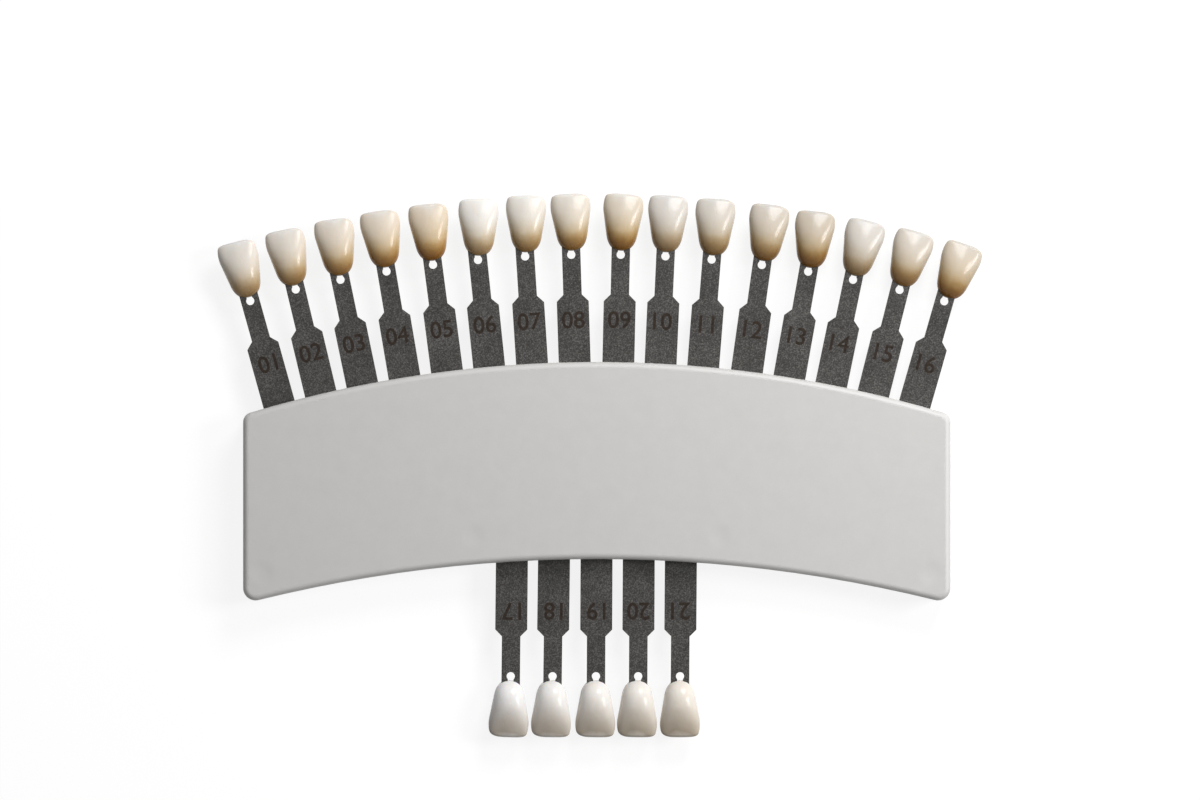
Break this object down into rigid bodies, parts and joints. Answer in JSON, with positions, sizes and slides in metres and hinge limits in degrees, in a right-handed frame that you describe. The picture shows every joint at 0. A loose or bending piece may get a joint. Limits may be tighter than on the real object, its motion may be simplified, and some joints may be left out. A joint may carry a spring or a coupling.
{
  "type": "dental shade guide",
  "caption": "Arc-shaped dental shade guide: a flat moulded holder with pull-out steel tabs that each carry a tooth-shaped ceramic shade sample.",
  "frame": {"origin": "middle of the holder, on its flat back face", "axes": "+X along the arc-shaped holder, +Y up its face towards the long row of tabs, +Z out of its front"},
  "size_m": [0.1531, 0.1091, 0.008],
  "materials": {
    "holder_plastic": "satin",
    "spring_steel": "satin",
    "tab_steel": "matte",
    "tooth_shade_01": "gloss",
    "tooth_shade_02": "gloss",
    "tooth_shade_03": "gloss",
    "tooth_shade_04": "gloss",
    "tooth_shade_05": "gloss",
    "tooth_shade_06": "gloss",
    "tooth_shade_07": "gloss",
    "tooth_shade_08": "gloss",
    "tooth_shade_09": "gloss",
    "tooth_shade_10": "gloss",
    "tooth_shade_11": "gloss",
    "tooth_shade_12": "gloss",
    "tooth_shade_13": "gloss",
    "tooth_shade_14": "gloss",
    "tooth_shade_15": "gloss",
    "tooth_shade_16": "gloss",
    "tooth_shade_17": "gloss",
    "tooth_shade_18": "gloss",
    "tooth_shade_19": "gloss",
    "tooth_shade_20": "gloss",
    "tooth_shade_21": "gloss"
  },
  "bodies": {
    "holder": {"front_cover": "holder_plastic", "back_cover": "holder_plastic", "upper_spring_comb": "spring_steel", "lower_spring_comb": "spring_steel"},
    "tab_01": {"tab_strip_01": "tab_steel", "shade_tooth_01": "tooth_shade_01"},
    "tab_02": {"tab_strip_02": "tab_steel", "shade_tooth_02": "tooth_shade_02"},
    "tab_03": {"tab_strip_03": "tab_steel", "shade_tooth_03": "tooth_shade_03"},
    "tab_04": {"tab_strip_04": "tab_steel", "shade_tooth_04": "tooth_shade_04"},
    "tab_05": {"tab_strip_05": "tab_steel", "shade_tooth_05": "tooth_shade_05"},
    "tab_06": {"tab_strip_06": "tab_steel", "shade_tooth_06": "tooth_shade_06"},
    "tab_07": {"tab_strip_07": "tab_steel", "shade_tooth_07": "tooth_shade_07"},
    "tab_08": {"tab_strip_08": "tab_steel", "shade_tooth_08": "tooth_shade_08"},
    "tab_09": {"tab_strip_09": "tab_steel", "shade_tooth_09": "tooth_shade_09"},
    "tab_10": {"tab_strip_10": "tab_steel", "shade_tooth_10": "tooth_shade_10"},
    "tab_11": {"tab_strip_11": "tab_steel", "shade_tooth_11": "tooth_shade_11"},
    "tab_12": {"tab_strip_12": "tab_steel", "shade_tooth_12": "tooth_shade_12"},
    "tab_13": {"tab_strip_13": "tab_steel", "shade_tooth_13": "tooth_shade_13"},
    "tab_14": {"tab_strip_14": "tab_steel", "shade_tooth_14": "tooth_shade_14"},
    "tab_15": {"tab_strip_15": "tab_steel", "shade_tooth_15": "tooth_shade_15"},
    "tab_16": {"tab_strip_16": "tab_steel", "shade_tooth_16": "tooth_shade_16"},
    "tab_17": {"tab_strip_17": "tab_steel", "shade_tooth_17": "tooth_shade_17"},
    "tab_18": {"tab_strip_18": "tab_steel", "shade_tooth_18": "tooth_shade_18"},
    "tab_19": {"tab_strip_19": "tab_steel", "shade_tooth_19": "tooth_shade_19"},
    "tab_20": {"tab_strip_20": "tab_steel", "shade_tooth_20": "tooth_shade_20"},
    "tab_21": {"tab_strip_21": "tab_steel", "shade_tooth_21": "tooth_shade_21"}
  },
  "joints": [
    {"name": "tab_01_pull", "type": "slide", "parent": "holder", "child": "tab_01", "axis": [-0.269, 0.9631, 0], "range_m": [0, 0.02]},
    {"name": "tab_02_pull", "type": "slide", "parent": "holder", "child": "tab_02", "axis": [-0.2326, 0.9726, 0], "range_m": [0, 0.02]},
    {"name": "tab_03_pull", "type": "slide", "parent": "holder", "child": "tab_03", "axis": [-0.2034, 0.9791, 0], "range_m": [0, 0.02]},
    {"name": "tab_04_pull", "type": "slide", "parent": "holder", "child": "tab_04", "axis": [-0.1675, 0.9859, 0], "range_m": [0, 0.02]},
    {"name": "tab_05_pull", "type": "slide", "parent": "holder", "child": "tab_05", "axis": [-0.1303, 0.9915, 0], "range_m": [0, 0.02]},
    {"name": "tab_06_pull", "type": "slide", "parent": "holder", "child": "tab_06", "axis": [-0.1039, 0.9946, 0], "range_m": [0, 0.02]},
    {"name": "tab_07_pull", "type": "slide", "parent": "holder", "child": "tab_07", "axis": [-0.0642, 0.9979, 0], "range_m": [0, 0.02]},
    {"name": "tab_08_pull", "type": "slide", "parent": "holder", "child": "tab_08", "axis": [-0.0322, 0.9995, 0], "range_m": [0, 0.02]},
    {"name": "tab_09_pull", "type": "slide", "parent": "holder", "child": "tab_09", "axis": [0.0222, 0.9998, 0], "range_m": [0, 0.02]},
    {"name": "tab_10_pull", "type": "slide", "parent": "holder", "child": "tab_10", "axis": [0.0454, 0.999, 0], "range_m": [0, 0.02]},
    {"name": "tab_11_pull", "type": "slide", "parent": "holder", "child": "tab_11", "axis": [0.0785, 0.9969, 0], "range_m": [0, 0.02]},
    {"name": "tab_12_pull", "type": "slide", "parent": "holder", "child": "tab_12", "axis": [0.1391, 0.9903, 0], "range_m": [0, 0.02]},
    {"name": "tab_13_pull", "type": "slide", "parent": "holder", "child": "tab_13", "axis": [0.1752, 0.9845, 0], "range_m": [0, 0.02]},
    {"name": "tab_14_pull", "type": "slide", "parent": "holder", "child": "tab_14", "axis": [0.2034, 0.9791, 0], "range_m": [0, 0.02]},
    {"name": "tab_15_pull", "type": "slide", "parent": "holder", "child": "tab_15", "axis": [0.2445, 0.9697, 0], "range_m": [0, 0.02]},
    {"name": "tab_16_pull", "type": "slide", "parent": "holder", "child": "tab_16", "axis": [0.2755, 0.9613, 0], "range_m": [0, 0.02]},
    {"name": "tab_17_pull", "type": "slide", "parent": "holder", "child": "tab_17", "axis": [-0.01, -1, 0], "range_m": [0, 0.018]},
    {"name": "tab_18_pull", "type": "slide", "parent": "holder", "child": "tab_18", "axis": [-0.0125, -0.9999, 0], "range_m": [0, 0.018]},
    {"name": "tab_19_pull", "type": "slide", "parent": "holder", "child": "tab_19", "axis": [-0.005, -1, 0], "range_m": [0, 0.018]},
    {"name": "tab_20_pull", "type": "slide", "parent": "holder", "child": "tab_20", "axis": [-0.005, -1, 0], "range_m": [0, 0.018]},
    {"name": "tab_21_pull", "type": "slide", "parent": "holder", "child": "tab_21", "axis": [-0.0075, -1, 0], "range_m": [0, 0.018]}
  ]
}
